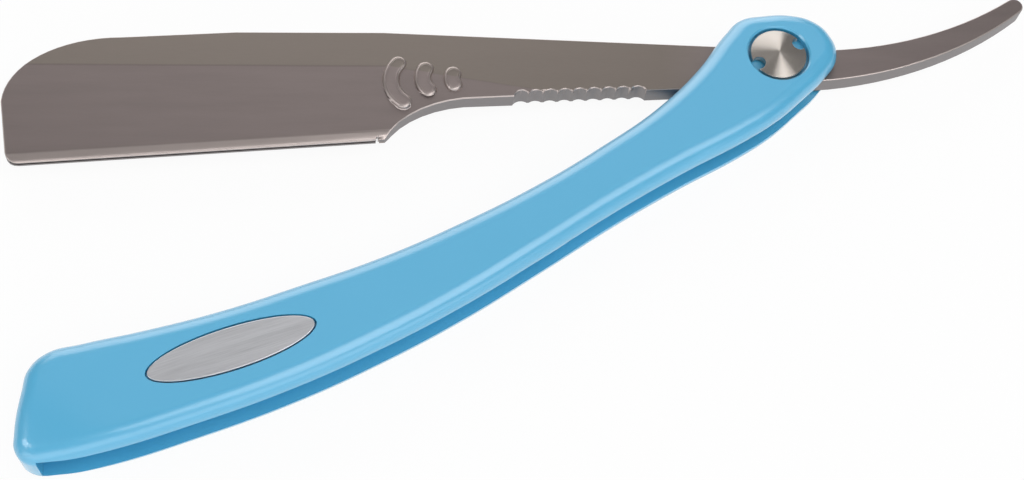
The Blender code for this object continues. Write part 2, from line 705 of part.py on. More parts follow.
def make_pivot_screw(material):
    rim_top = HANDLE_THICKNESS - SCREW_SET_DOWN
    rim_under = rim_top - SCREW_RIM
    end = NUT_SET_IN + NUT_HEAD_THICKNESS + FIT_GAP
    steps = ARC_STEPS
    dome = []
    for step in range(steps + 1):
        share = step / steps
        radius = (SCREW_HEAD_RADIUS - HEAD_CHAMFER) * share
        dome.append((radius, rim_top + SCREW_DOME * (1 - share ** DOME_POWER)))
    profile = dome + [
        (SCREW_HEAD_RADIUS, rim_top - HEAD_CHAMFER),
        (SCREW_HEAD_RADIUS, rim_under),
        (SCREW_SHANK_RADIUS, rim_under),
        (SCREW_SHANK_RADIUS, end),
        (0, end),
    ]
    screw = add_part("pivot_screw", profile_mesh(profile), material, handle_frame)
    turn_about_axis(screw)
    cut_spanner_notches(screw, "screw_notches", SCREW_HEAD_RADIUS,
                        rim_under - FIT_GAP, rim_top + SCREW_DOME)
    return screw


def make_pivot_nut(material):
    head_top = NUT_SET_IN + NUT_HEAD_THICKNESS
    barrel_top = HANDLE_THICKNESS - SCREW_SET_DOWN - SCREW_RIM - 2 * FIT_GAP
    bore = SCREW_SHANK_RADIUS + FIT_GAP
    profile = (
        (0, head_top), (bore, head_top), (bore, barrel_top), (BARREL_RADIUS, barrel_top),
        (BARREL_RADIUS, head_top), (NUT_HEAD_RADIUS, head_top),
        (NUT_HEAD_RADIUS, NUT_SET_IN + HEAD_CHAMFER),
        (NUT_HEAD_RADIUS - HEAD_CHAMFER, NUT_SET_IN), (0, NUT_SET_IN),
    )
    nut = add_part("pivot_nut", profile_mesh(profile), material, handle_frame)
    turn_about_axis(nut)
    cut_spanner_notches(nut, "nut_notches", NUT_HEAD_RADIUS,
                        NUT_SET_IN - OVERRUN, head_top + FIT_GAP)
    return nut


def make_washers(material):
    """Plastic washers seated in the handle, one each side of the holder's eye."""
    far_face = WASHER_FACE + WASHER_THICKNESS
    for name, side in (("front_washer", 1), ("back_washer", -1)):
        low, high = sorted((MID_HEIGHT + side * WASHER_FACE, MID_HEIGHT + side * far_face))
        profile = ((BORE_RADIUS, high), (WASHER_RADIUS, high), (WASHER_RADIUS, low),
                   (BORE_RADIUS, low), (BORE_RADIUS, high))
        washer = add_part(name, profile_mesh(profile), material, handle_frame)
        turn_about_axis(washer)


# Placing

def place_on_origin():
    """Moves the razor so that the middle of its box's underside is at the origin."""
    bpy.context.view_layer.update()
    graph = bpy.context.evaluated_depsgraph_get()
    corners = []
    for obj in parts.objects:
        if obj.type == "MESH":
            evaluated = obj.evaluated_get(graph)
            corners += [evaluated.matrix_world @ vert.co for vert in evaluated.data.vertices]
    low = [min(corner[axis] for corner in corners) for axis in range(3)]
    high = [max(corner[axis] for corner in corners) for axis in range(3)]
    razor.location = (-(low[0] + high[0]) / 2, -(low[1] + high[1]) / 2, -low[2])
    bpy.context.view_layer.update()


clear_scene()
parts = new_collection("straight_razor")
tools = new_collection("cutters")
razor = new_empty("razor")
holder_frame = new_empty("holder_pivot", razor)
handle_frame = new_empty("handle_pivot", razor, REST_ANGLE)

steel = new_material("satin_steel", (0.24, 0.21, 0.20), 0.38, 1.0)
blue_resin = new_material("blue_resin", (0.13, 0.42, 0.68), 0.22, 0.0)
spun_steel = new_material("spun_steel", (0.55, 0.52, 0.49), 0.25, 1.0)
brushed_plate = new_material("brushed_plate", (0.45, 0.43, 0.43), 0.42, 1.0)
washer_plastic = new_material("washer_plastic", (0.75, 0.75, 0.72), 0.5, 0.0)

make_handle(blue_resin)
make_badge_plate(brushed_plate)
make_blade_holder(steel)
make_back_jaw(steel)
make_jaw_rivets(steel)
make_pivot_screw(spun_steel)
make_pivot_nut(spun_steel)
make_washers(washer_plastic)
place_on_origin()
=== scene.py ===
"""Looks of the folding razor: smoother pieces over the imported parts, finishes, studio and camera.

All sizes are in metres in the razor's own frame. X runs from the holder's toe to its tang, Y from
the blade edge to the spine, and Z up, with the razor lying on the back of its handle. The handle,
the badge and the screw are drawn about the pivot with the tail at -X, and then turned into place.
"""

import json
import math

import bpy
from mathutils import Matrix, Vector

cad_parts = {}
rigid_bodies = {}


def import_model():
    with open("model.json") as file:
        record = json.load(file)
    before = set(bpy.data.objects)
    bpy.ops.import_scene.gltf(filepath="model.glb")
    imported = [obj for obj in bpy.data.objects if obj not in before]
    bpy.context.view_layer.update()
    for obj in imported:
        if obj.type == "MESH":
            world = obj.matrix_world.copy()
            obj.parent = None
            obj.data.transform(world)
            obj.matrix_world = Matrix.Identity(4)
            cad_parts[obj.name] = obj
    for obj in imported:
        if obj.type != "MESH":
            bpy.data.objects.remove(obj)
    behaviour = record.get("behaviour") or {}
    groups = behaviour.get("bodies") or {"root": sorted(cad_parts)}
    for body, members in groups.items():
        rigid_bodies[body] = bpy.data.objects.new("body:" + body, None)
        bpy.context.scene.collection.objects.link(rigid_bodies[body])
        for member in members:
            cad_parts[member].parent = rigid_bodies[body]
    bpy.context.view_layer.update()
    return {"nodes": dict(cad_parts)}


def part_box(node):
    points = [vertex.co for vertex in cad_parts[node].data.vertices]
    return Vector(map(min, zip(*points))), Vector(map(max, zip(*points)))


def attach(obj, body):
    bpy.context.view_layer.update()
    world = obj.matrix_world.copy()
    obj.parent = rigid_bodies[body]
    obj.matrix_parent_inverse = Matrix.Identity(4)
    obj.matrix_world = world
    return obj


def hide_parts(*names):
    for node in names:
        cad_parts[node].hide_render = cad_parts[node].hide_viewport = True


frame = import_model()

MM = 0.001

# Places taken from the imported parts
screw_low, screw_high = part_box("pivot_screw")
handle_low, handle_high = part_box("handle")
holder_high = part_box("blade_holder")[1]
PIVOT = Vector(((screw_low.x + screw_high.x) / 2, (screw_low.y + screw_high.y) / 2, 0))
BACK = handle_low.z
FRONT = handle_high.z
MIDDLE = (BACK + FRONT) / 2
HALF_THICKNESS = (FRONT - BACK) / 2
REST_ANGLE = math.radians(27.7)
HANDLE_PLACE = Matrix.Translation(PIVOT) @ Matrix.Rotation(REST_ANGLE, 4, "Z")

# Sides of a round tool, and how far a through cut runs past the surface
ROUND_STEPS = 96
CUT_OVER = 2 * MM

# Handle. The outline's points are shares of its reach towards the tail and of its width
TAIL_REACH = 126.6 * MM
HANDLE_WIDTH = 15.95 * MM
HANDLE_OUTLINE = (
    (-0.0795, -0.031), (-0.0725, 0.196), (-0.0500, 0.374), (-0.0205, 0.487), (0.0095, 0.551),
    (0.0350, 0.490), (0.0955, 0.262), (0.1680, 0.079), (0.2627, -0.038), (0.3505, -0.104),
    (0.4580, -0.121), (0.5593, -0.088), (0.6535, 0.003), (0.7437, 0.108), (0.8300, 0.260),
    (0.8900, 0.387), (0.9290, 0.449), (0.9535, 0.378), (0.9680, 0.232), (0.9935, -0.085),
    (1.0000, -0.225), (0.9937, -0.372), (0.9691, -0.474), (0.9256, -0.578), (0.8228, -0.723),
    (0.7120, -0.829), (0.6092, -0.861), (0.4984, -0.839), (0.3956, -0.765), (0.2848, -0.673),
    (0.1899, -0.625), (0.0949, -0.606), (0.0475, -0.567), (0.0000, -0.478), (-0.0445, -0.370),
    (-0.0695, -0.258),
)
RIM_ROUND = 2.5 * MM
RIM_SEGMENTS = 10
TAIL_FROM = 0.85 * TAIL_REACH
TAIL_GRID = 0.8 * MM
TAIL_FALL_TURN = math.radians(28)
TAIL_FALL_FROM = 103.5 * MM
TAIL_FALL_LENGTH = 10.0 * MM
TAIL_FALL = 1.3 * MM
SLOT_AT_PIVOT = 4.1 * MM
SLOT_AT_TAIL = 5.4 * MM
SLOT_END_REACH = 122.2 * MM
SLOT_END_SLANT = math.radians(21.5)
SLOT_EDGE_ROUND = 0.14 * MM
SLOT_EDGE_SPARE = 0.1 * MM
SLOT_EDGE_LEAST_TURN = math.radians(48)
BRIDGE_LOW = Vector((-50.3, -5.57, 0)) * MM
BRIDGE_HIGH = Vector((-46.3, -2.17, 0)) * MM
BRIDGE_HALF_HEIGHT = 3.3 * MM
BORE_RADIUS = 2.5 * MM
RECESS_RADIUS = 4.83 * MM
RECESS_FLARE = 0.24 * MM
FRONT_RECESS_DEPTH = 1.27 * MM
BACK_RECESS_DEPTH = 1.35 * MM
EYE_ROOM_RADIUS = 4.9 * MM
EYE_ROOM_HALF_HEIGHT = 2.65 * MM

# Badge
BADGE_CENTRE = Vector((-95.4, -4.85, 0)) * MM
BADGE_LENGTH = 23.6 * MM
BADGE_WIDTH = 6.2 * MM
BADGE_TILT = math.radians(-9.0)
BADGE_THICKNESS = 0.6 * MM
BADGE_ROUND = 0.14 * MM
BADGE_GAP = 0.25 * MM
POCKET_SPARE = 0.3 * MM
POCKET_ROUND = 0.06 * MM
POCKET_LEAST_TURN = math.radians(60)

# Pivot screw. The dome starts where the head's radius has shrunk to the given share
SCREW_RADIUS = 4.4 * MM
SCREW_SET_DOWN = 0.27 * MM
SCREW_RIM = 0.7 * MM
SCREW_CORNER = 0.08 * MM
SCREW_ROUND = 0.07 * MM
DOME_SHARE = 0.982
DOME_HEIGHT = 0.7 * MM
DOME_RINGS = 14
DOME_POWER = 1.3
SPANNER_RADIUS = 1.05 * MM
SPANNER_PLACE = 3.8 * MM
SHANK_RADIUS = 1.2 * MM
SHANK_LOW = 1.36 * MM
SHANK_GAP = 0.02 * MM

# Blade holder. A level is the upward part of a face's direction
WALL_MOST_LEVEL = 0.3
TOP_LEAST_LEVEL = 0.9
GROUND_LEAST_LEVEL = 0.99
PAD_SLOPE_LEVELS = (0.2, 0.97)
PAD_RISE = 0.3 * MM
PAD_RIM = 0.12 * MM
PAD_STEP_WIDTH = 0.16 * MM
PAD_STEP_DEPTH = 0.12 * MM
PADS_LOW = Vector((-27.0, 13.0, 0)) * MM
PADS_HIGH = Vector((-5.0, 27.0, 0)) * MM
MOAT_WIDTH = 0.13 * MM
MOAT_DEPTH = 0.11 * MM
HOLDER_TOP = holder_high.z - PAD_RISE
CHAMFER = 0.16 * MM
NOTCH_COUNT = 9
FIRST_NOTCH = Vector((-2.32, 19.56, 0)) * MM
NOTCH_STEP = Vector((2.27, 0.1, 0)) * MM
NOTCH_ROW = (NOTCH_COUNT - 1) * NOTCH_STEP
NOTCH_MOUTH = 1.26 * MM
NOTCH_TIP = 0.7 * MM
NOTCH_SPARE = 0.1 * MM
NOTCH_REACH = 3 * MM
GROUND_LEAST_AREA = 30 * MM * MM
SHALLOW_LEAST = math.radians(0.8)
SHALLOW_MOST = math.radians(20)
RIDGE_LEFT_SLOPE = -0.0048
RIDGE_LEFT_LEVEL = 25.04 * MM
RIDGE_RIGHT_SLOPE = -0.184
RIDGE_RIGHT_LEVEL = 20.91 * MM

# Finishes: pairs of colours and of roughness, and the single colours that areas are tinted with.
# The steel's single colours are painted light: painted shade above and along the ridge, a painted
# reflection on the side walls and painted highlights on the broken edges
STEEL = ((0.268, 0.225, 0.217), (0.286, 0.240, 0.231))
STEEL_ROUGH = (0.41, 0.47)
# Painted shade: the facet above the ridge, darker and warmer
STEEL_SPINE_SHADE = (0.2375, 0.2066, 0.1795)
# Painted reflection: the side walls, lighter and cooler
STEEL_SIDE_REFLECTION = (0.268, 0.256, 0.258)
# Painted highlight: the broken edges and the blade's lower edge
STEEL_EDGE_HIGHLIGHT = (0.56, 0.49, 0.465)
# Painted shade: a thin dark band along the ridge
STEEL_RIDGE_SHADE = (0.15, 0.12, 0.115)
RESIN = ((0.066, 0.422, 0.688), (0.072, 0.437, 0.706))
RESIN_ROUGH = (0.40, 0.46)
SPUN = ((0.47, 0.43, 0.395), (0.525, 0.485, 0.445))
SPUN_ROUGH = (0.22, 0.27)
PLATE = ((0.59, 0.595, 0.62), (0.73, 0.735, 0.762))
PLATE_ROUGH = (0.36, 0.46)
WASHER = ((0.70, 0.70, 0.67), (0.78, 0.78, 0.75))
WASHER_ROUGH = (0.45, 0.55)

# The middle of a noise's range, and the share of the floor that shines white by itself
NOISE_SPAN = (0.3, 0.7)
FLOOR_GLOW = 0.93

# Masks on the steel, which place its painted shade, painted reflection and painted highlights. Each
# runs from nothing at its first value to full at its second. Levels and tilts are parts of the
# surface's direction, and the rest are distances
# Where the painted highlights fall: edge faces between flat and upright, and faces tilted towards
# the blade edge
EDGE_HIGHLIGHT_LEVELS = (0.96, 0.88)
EDGE_HIGHLIGHT_END_LEVELS = (0.2, 0.4)
LIP_HIGHLIGHT_TILTS = (-0.06, -0.2)
LIP_HIGHLIGHT_SHARE = 0.6
# Where the painted reflection falls: the upright side walls
SIDE_REFLECTION_LEVELS = (0.3, 0.15)
SIDE_REFLECTION_SHARE = 0.85
# Faces that take the painted shade along the ridge
RIDGE_SHADE_TOP_LEVELS = (0.9, 0.95)
# Where the painted shade on the facet above the ridge falls
SPINE_SHADE_EDGE = (-0.1 * MM, 0.1 * MM)
SPINE_SHADE_END = (30.0 * MM, 20.0 * MM)
SPINE_SHADE_SHARE = 0.8
# How wide the painted shade along the ridge is, where it ends, and how it grows towards the toe
RIDGE_SHADE_HALF_WIDTH = (0.22 * MM, 0.08 * MM)
RIDGE_SHADE_END = (2.0 * MM, -2.0 * MM)
RIDGE_SHADE_HEIGHT = (6.6 * MM, 6.5 * MM)
RIDGE_SHADE_FADING = (-18.0 * MM, -26.0 * MM)
RIDGE_SHADE_SHARE_RIGHT = 0.1
RIDGE_SHADE_SHARE_MORE_LEFT = 0.22


# Working with objects

def deselect_all():
    if bpy.context.object is not None and bpy.context.object.mode != "OBJECT":
        bpy.ops.object.mode_set(mode="OBJECT")
    bpy.ops.object.select_all(action="DESELECT")


def select_only(obj):
    deselect_all()
    obj.select_set(True)
    bpy.context.view_layer.objects.active = obj


def select_parts(obj, mode, chosen):
    """Leaves the object in edit mode with the chosen faces or edges selected, by number."""
    select_only(obj)
    bpy.ops.object.mode_set(mode="EDIT")
    bpy.ops.mesh.select_mode(type=mode)
    bpy.ops.mesh.select_all(action="DESELECT")
    bpy.ops.object.mode_set(mode="OBJECT")
    parts = {"FACE": obj.data.polygons, "EDGE": obj.data.edges}[mode]
    for number in chosen:
        parts[number].select = True
    bpy.ops.object.mode_set(mode="EDIT")


def select_faces(obj, is_chosen):
    select_parts(obj, "FACE", [face.index for face in obj.data.polygons if is_chosen(face)])


def leave_edit_mode():
    bpy.ops.mesh.select_mode(type="VERT")
    bpy.ops.object.mode_set(mode="OBJECT")


def apply_place(obj):
    select_only(obj)
    bpy.ops.object.transform_apply(location=True, rotation=True, scale=True)


def put_in_handle(obj):
    """Turns a piece drawn about the pivot, with the tail at -X, into its place in the razor."""
    obj.matrix_world = HANDLE_PLACE @ obj.matrix_world
    apply_place(obj)


def apply_modifier(obj, modifier):
    select_only(obj)
    bpy.ops.object.modifier_apply(modifier=modifier.name)


def cut(obj, tool, operation="DIFFERENCE"):
    modifier = obj.modifiers.new("cut", "BOOLEAN")
    modifier.operation = operation
    modifier.solver = "EXACT"
    modifier.object = tool
    apply_modifier(obj, modifier)
    bpy.data.objects.remove(tool, do_unlink=True)


def bevel(obj, width, segments, least_turn=math.radians(50), clamp=True):
    """Rounds every edge whose faces turn by more than the given angle."""
    modifier = obj.modifiers.new("rounded edges", "BEVEL")
    modifier.width = width
    modifier.segments = segments
    modifier.limit_method = "ANGLE"
    modifier.angle_limit = least_turn
    modifier.use_clamp_overlap = clamp
    apply_modifier(obj, modifier)


def edges_with_sides(mesh):
    """Every edge between two faces, with the normals and areas of both."""
    sides = {}
    for face in mesh.polygons:
        for key in face.edge_keys:
            sides.setdefault(key, []).append((face.normal.copy(), face.area))
    return [(edge, sides[edge.key]) for edge in mesh.edges if len(sides.get(edge.key, [])) == 2]


def edge_middle(mesh, edge):
    start, end = edge.vertices
    return (mesh.vertices[start].co + mesh.vertices[end].co) / 2


def bevel_chosen(obj, width, segments, is_chosen):
    """Rounds only the edges that the test picks, by their middle and the two faces beside them."""
    mesh = obj.data
    weights = mesh.attributes.new("bevel_weight_edge", "FLOAT", "EDGE")
    for edge, ((one, _), (other, _)) in edges_with_sides(mesh):
        chosen = is_chosen(edge_middle(mesh, edge), one, other)
        weights.data[edge.index].value = 1.0 if chosen else 0.0
    modifier = obj.modifiers.new("rounded edges", "BEVEL")
    modifier.width = width
    modifier.segments = segments
    modifier.limit_method = "WEIGHT"
    modifier.use_clamp_overlap = False
    apply_modifier(obj, modifier)
    obj.data.attributes.remove(obj.data.attributes["bevel_weight_edge"])


def even_normals(obj, crease=math.radians(35)):
    """Smooth shading that keeps big flat faces flat, and edges past the crease angle sharp."""
    select_only(obj)
    bpy.ops.object.shade_smooth_by_angle(angle=crease)
    modifier = obj.modifiers.new("even normals", "WEIGHTED_NORMAL")
    modifier.weight = 50
    modifier.keep_sharp = True
    apply_modifier(obj, modifier)


def finish_piece(obj, name, body, material, nodes):
    obj.name = name
    obj.data.name = name
    obj.data.materials.clear()
    obj.data.materials.append(material)
    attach(obj, body)
    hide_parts(*nodes)


def copy_of(node_name, merge=0.002 * MM):
    """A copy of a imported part, with its loose triangles merged into whole faces."""
    source = frame["nodes"][node_name]
    obj = bpy.data.objects.new(node_name + "_copy", source.data.copy())
    bpy.context.scene.collection.objects.link(obj)
    select_only(obj)
    bpy.ops.object.mode_set(mode="EDIT")
    bpy.ops.mesh.select_all(action="SELECT")
    bpy.ops.mesh.remove_doubles(threshold=merge)
    bpy.ops.mesh.dissolve_limited(angle_limit=math.radians(0.6))
    bpy.ops.object.mode_set(mode="OBJECT")
    return obj


def add_round(radius, low, high, place=(0, 0), steps=ROUND_STEPS):
    bpy.ops.mesh.primitive_cylinder_add(vertices=steps, radius=radius, depth=high - low,
                                        location=(place[0], place[1], (low + high) / 2))
    return bpy.context.object


def add_recess_tool(depth, surface, way):
    """Round recess with a mouth that widens at 45 degrees. Way is 1 in front and -1 behind."""
    low, high = sorted((surface - way * depth, surface - way * RECESS_FLARE))
    tool = add_round(RECESS_RADIUS, low, high)
    apply_place(tool)
    mouth = max(tool.data.polygons, key=lambda face: way * face.center.z)
    select_parts(tool, "FACE", [mouth.index])
    rise = 3 * RECESS_FLARE
    bpy.ops.mesh.extrude_region_move(TRANSFORM_OT_translate={"value": (0, 0, way * rise)})
    wider = (RECESS_RADIUS + rise) / RECESS_RADIUS
    bpy.ops.transform.resize(value=(wider, wider, 1), center_override=(0, 0, surface))
    leave_edit_mode()
    return tool


def add_box(low, high):
    centre = [(a + b) / 2 for a, b in zip(low, high)]
    bpy.ops.mesh.primitive_cube_add(size=1, location=centre)
    obj = bpy.context.object
    obj.scale = [b - a for a, b in zip(low, high)]
    apply_place(obj)
    return obj


def add_oval(length, width, thickness, height):
    """Oval at the badge's place in the handle, with its middle at the given height."""
    bpy.ops.mesh.primitive_cylinder_add(vertices=ROUND_STEPS, radius=0.5, depth=thickness)
    oval = bpy.context.object
    oval.scale = (length, width, 1)
    oval.rotation_euler.z = BADGE_TILT
    oval.location = BADGE_CENTRE + Vector((0, 0, height))
    apply_place(oval)
    return oval


# Finishes

def node(tree, kind, **settings):
    made = tree.nodes.new(kind)
    for name, value in settings.items():
        setattr(made, name, value)
    return made


def grain_group():
    """Fine grain stretched along one way: a height, and a mask for colour and roughness."""
    tree = bpy.data.node_groups.new("stretched_grain", "ShaderNodeTree")
    tree.interface.new_socket("Vector", in_out="INPUT", socket_type="NodeSocketVector")
    for name, value in (("Scale", 900.0), ("Detail", 3.0)):
        socket = tree.interface.new_socket(name, in_out="INPUT", socket_type="NodeSocketFloat")
        socket.default_value = value
    for name in ("Grain", "Cloud"):
        tree.interface.new_socket(name, in_out="OUTPUT", socket_type="NodeSocketFloat")
    source = node(tree, "NodeGroupInput")
    target = node(tree, "NodeGroupOutput")
    fine = node(tree, "ShaderNodeTexNoise", noise_dimensions="3D")
    cloud = node(tree, "ShaderNodeTexNoise", noise_dimensions="3D")
    cloud_scale = node(tree, "ShaderNodeMath", operation="MULTIPLY")
    cloud_scale.inputs[1].default_value = 0.12
    tree.links.new(source.outputs["Vector"], fine.inputs["Vector"])
    tree.links.new(source.outputs["Scale"], fine.inputs["Scale"])
    tree.links.new(source.outputs["Detail"], fine.inputs["Detail"])
    tree.links.new(source.outputs["Vector"], cloud.inputs["Vector"])
    tree.links.new(source.outputs["Scale"], cloud_scale.inputs[0])
    tree.links.new(cloud_scale.outputs[0], cloud.inputs["Scale"])
    tree.links.new(fine.outputs["Fac"], target.inputs["Grain"])
    tree.links.new(cloud.outputs["Fac"], target.inputs["Cloud"])
    return tree


GRAIN = grain_group()


def new_finish(name):
    material = bpy.data.materials.new(name)
    material.use_nodes = True
    tree = material.node_tree
    return material, tree, tree.nodes["Principled BSDF"]


def grain_nodes(tree, place, turn, stretch, scale):
    """Object coordinates, centred and turned on the piece, into the grain group."""
    coordinates = node(tree, "ShaderNodeTexCoord")
    centre = node(tree, "ShaderNodeVectorMath", operation="SUBTRACT")
    centre.inputs[1].default_value = place
    mapping = node(tree, "ShaderNodeMapping")
    mapping.inputs["Rotation"].default_value = (0, 0, -turn)
    squeeze = node(tree, "ShaderNodeVectorMath", operation="MULTIPLY")
    squeeze.inputs[1].default_value = stretch
    grain = node(tree, "ShaderNodeGroup", node_tree=GRAIN)
    grain.inputs["Scale"].default_value = scale
    tree.links.new(coordinates.outputs["Object"], centre.inputs[0])
    tree.links.new(centre.outputs[0], mapping.inputs["Vector"])
    tree.links.new(mapping.outputs[0], squeeze.inputs[0])
    tree.links.new(squeeze.outputs[0], grain.inputs["Vector"])
    return grain.outputs["Grain"], grain.outputs["Cloud"]


def ramp(tree, source, colours, span=NOISE_SPAN):
    """Colour that runs between the pair as the source goes over the span."""
    made = node(tree, "ShaderNodeValToRGB")
    for element, position, colour in zip(made.color_ramp.elements, span, colours):
        element.position = position
        element.color = (*colour, 1.0)
    tree.links.new(source, made.inputs["Fac"])
    return made.outputs["Color"]


def between(tree, source, span, target=(0.0, 1.0)):
    """A value that runs over the target as the source goes over the span, and stops at its ends."""
    made = node(tree, "ShaderNodeMapRange")
    made.inputs["From Min"].default_value = span[0]
    made.inputs["From Max"].default_value = span[1]
    made.inputs["To Min"].default_value = target[0]
    made.inputs["To Max"].default_value = target[1]
    tree.links.new(source, made.inputs["Value"])
    return made.outputs["Result"]


def bump(tree, source, distance, strength):
    made = node(tree, "ShaderNodeBump")
    made.inputs["Strength"].default_value = strength
    made.inputs["Distance"].default_value = distance
    tree.links.new(source, made.inputs["Height"])
    return made.outputs["Normal"]


def join(tree, operation, one, other):
    """Two values, or a value and a number, through one Math node."""
    made = node(tree, "ShaderNodeMath", operation=operation)
    for socket, given in zip(made.inputs, (one, other)):
        if isinstance(given, float):
            socket.default_value = given
        else:
            tree.links.new(given, socket)
    return made.outputs[0]


def product(tree, first, *others):
    for other in others:
        first = join(tree, "MULTIPLY", first, other)
    return first


def tinted(tree, factor, below, above):
    """Colour mix from a socket towards one fixed colour."""
    made = node(tree, "ShaderNodeMix", data_type="RGBA")
    tree.links.new(factor, made.inputs[0])
    tree.links.new(below, made.inputs[6])
    made.inputs[7].default_value = (*above, 1.0)
    return made.outputs[2]


def separated(tree, source):
    made = node(tree, "ShaderNodeSeparateXYZ")
    tree.links.new(source, made.inputs[0])
    return made.outputs


def dress(tree, shader, colour, rough, relief=None):
    """Joins the varying colour, roughness and relief to the shader."""
    tree.links.new(colour, shader.inputs["Base Color"])
    tree.links.new(rough, shader.inputs["Roughness"])
    if relief is not None:
        tree.links.new(relief, shader.inputs["Normal"])


def above_ridge(tree, place):
    """How far a point lies from the ridge towards the spine. The ridge is level, then falls."""
    level = join(tree, "MULTIPLY", place["X"], RIDGE_LEFT_SLOPE)
    level = join(tree, "ADD", level, RIDGE_LEFT_LEVEL)
    falling = join(tree, "MULTIPLY", place["X"], RIDGE_RIGHT_SLOPE)
    falling = join(tree, "ADD", falling, RIDGE_RIGHT_LEVEL)
    return join(tree, "SUBTRACT", place["Y"], join(tree, "MINIMUM", level, falling))


def satin_steel():
    """Satin faces with painted light: painted shade, darker and warmer, above the ridge and in a
    thin band along it, a cool painted reflection on the side walls, and painted highlights on the
    broken edges and along the blade's lower edge.
    """
    material, tree, shader = new_finish("satin_steel")
    grain, cloud = grain_nodes(tree, PIVOT, turn=0.0, stretch=(0.12, 1.0, 1.0), scale=4200.0)
    coordinates = node(tree, "ShaderNodeTexCoord")
    facing = separated(tree, coordinates.outputs["Normal"])
    place = separated(tree, coordinates.outputs["Object"])
    level = join(tree, "ABSOLUTE", facing["Z"], 0.0)
    above = above_ridge(tree, place)

    # Painted shade: the facet above the ridge is tinted darker and warmer
    spine = product(tree, between(tree, above, SPINE_SHADE_EDGE), between(tree, place["X"], SPINE_SHADE_END),
                    SPINE_SHADE_SHARE)
    # Painted reflection: upright side walls are tinted lighter and cooler
    side = product(tree, between(tree, level, SIDE_REFLECTION_LEVELS), SIDE_REFLECTION_SHARE)
    # Painted highlight: tilted edge faces, and faces turned towards the blade edge, are tinted
    # light
    lip_highlight = product(tree, between(tree, facing["Y"], LIP_HIGHLIGHT_TILTS), LIP_HIGHLIGHT_SHARE)
    edge = join(tree, "MAXIMUM", between(tree, level, EDGE_HIGHLIGHT_LEVELS), lip_highlight)
    edge = product(tree, edge, between(tree, level, EDGE_HIGHLIGHT_END_LEVELS))
    # Painted shade: a thin dark band along the ridge, stronger towards the toe
    ridge_shade = product(tree, between(tree, join(tree, "ABSOLUTE", above, 0.0), RIDGE_SHADE_HALF_WIDTH),
                   between(tree, facing["Z"], RIDGE_SHADE_TOP_LEVELS), between(tree, place["X"], RIDGE_SHADE_END),
                   between(tree, place["Z"], RIDGE_SHADE_HEIGHT))
    more_left = product(tree, between(tree, place["X"], RIDGE_SHADE_FADING), RIDGE_SHADE_SHARE_MORE_LEFT)
    ridge_shade = product(tree, ridge_shade, join(tree, "ADD", more_left, RIDGE_SHADE_SHARE_RIGHT))

    colour = ramp(tree, cloud, STEEL)
    colour = tinted(tree, spine, colour, STEEL_SPINE_SHADE)
    colour = tinted(tree, side, colour, STEEL_SIDE_REFLECTION)
    colour = tinted(tree, edge, colour, STEEL_EDGE_HIGHLIGHT)
    colour = tinted(tree, ridge_shade, colour, STEEL_RIDGE_SHADE)
    dress(tree, shader, colour, between(tree, grain, NOISE_SPAN, STEEL_ROUGH),
          bump(tree, grain, distance=0.002 * MM, strength=0.25))
    shader.inputs["Metallic"].default_value = 1.0
    return material


def blue_resin():
    """Moulded resin with faint clouds and a soft gloss."""
    material, tree, shader = new_finish("blue_resin")
    grain, cloud = grain_nodes(tree, PIVOT, turn=REST_ANGLE, stretch=(0.6, 1.0, 1.0), scale=160.0)
    dress(tree, shader, ramp(tree, cloud, RESIN), between(tree, grain, NOISE_SPAN, RESIN_ROUGH),
          bump(tree, grain, distance=0.02 * MM, strength=0.25))
    shader.inputs["IOR"].default_value = 1.5
    shader.inputs["Specular IOR Level"].default_value = 1.0
    shader.inputs["Coat Weight"].default_value = 1.0
    shader.inputs["Coat Roughness"].default_value = 0.2
    shader.inputs["Coat IOR"].default_value = 1.55
    return material


def spun_steel():
    """Turned face with fine rings about the pivot, which draw its light out into cones."""
    material, tree, shader = new_finish("spun_steel")
    coordinates = node(tree, "ShaderNodeTexCoord")
    centre = node(tree, "ShaderNodeVectorMath", operation="SUBTRACT")
    centre.inputs[1].default_value = PIVOT
    flat = node(tree, "ShaderNodeVectorMath", operation="MULTIPLY")
    flat.inputs[1].default_value = (1, 1, 0)
    length = node(tree, "ShaderNodeVectorMath", operation="LENGTH")
    noise = node(tree, "ShaderNodeTexNoise", noise_dimensions="1D")
    noise.inputs["Scale"].default_value = 9000.0
    noise.inputs["Detail"].default_value = 2.0
    tangent = node(tree, "ShaderNodeTangent", direction_type="RADIAL", axis="Z")
    tree.links.new(coordinates.outputs["Object"], centre.inputs[0])
    tree.links.new(centre.outputs[0], flat.inputs[0])
    tree.links.new(flat.outputs[0], length.inputs[0])
    tree.links.new(length.outputs["Value"], noise.inputs["W"])
    rings = noise.outputs["Fac"]
    dress(tree, shader, ramp(tree, rings, SPUN), between(tree, rings, NOISE_SPAN, SPUN_ROUGH),
          bump(tree, rings, distance=0.003 * MM, strength=0.4))
    tree.links.new(tangent.outputs["Tangent"], shader.inputs["Tangent"])
    shader.inputs["Metallic"].default_value = 1.0
    shader.inputs["Anisotropic"].default_value = 1.0
    shader.inputs["Anisotropic Rotation"].default_value = 0.25
    return material


def brushed_plate():
    """Plate brushed along the badge's length."""
    material, tree, shader = new_finish("brushed_plate")
    grain, cloud = grain_nodes(tree, HANDLE_PLACE @ BADGE_CENTRE, turn=REST_ANGLE + BADGE_TILT,
                               stretch=(0.03, 1.0, 1.0), scale=6500.0)
    dress(tree, shader, ramp(tree, grain, PLATE, (0.25, 0.75)),
          between(tree, cloud, NOISE_SPAN, PLATE_ROUGH),
          bump(tree, grain, distance=0.004 * MM, strength=0.6))
    shader.inputs["Metallic"].default_value = 1.0
    return material


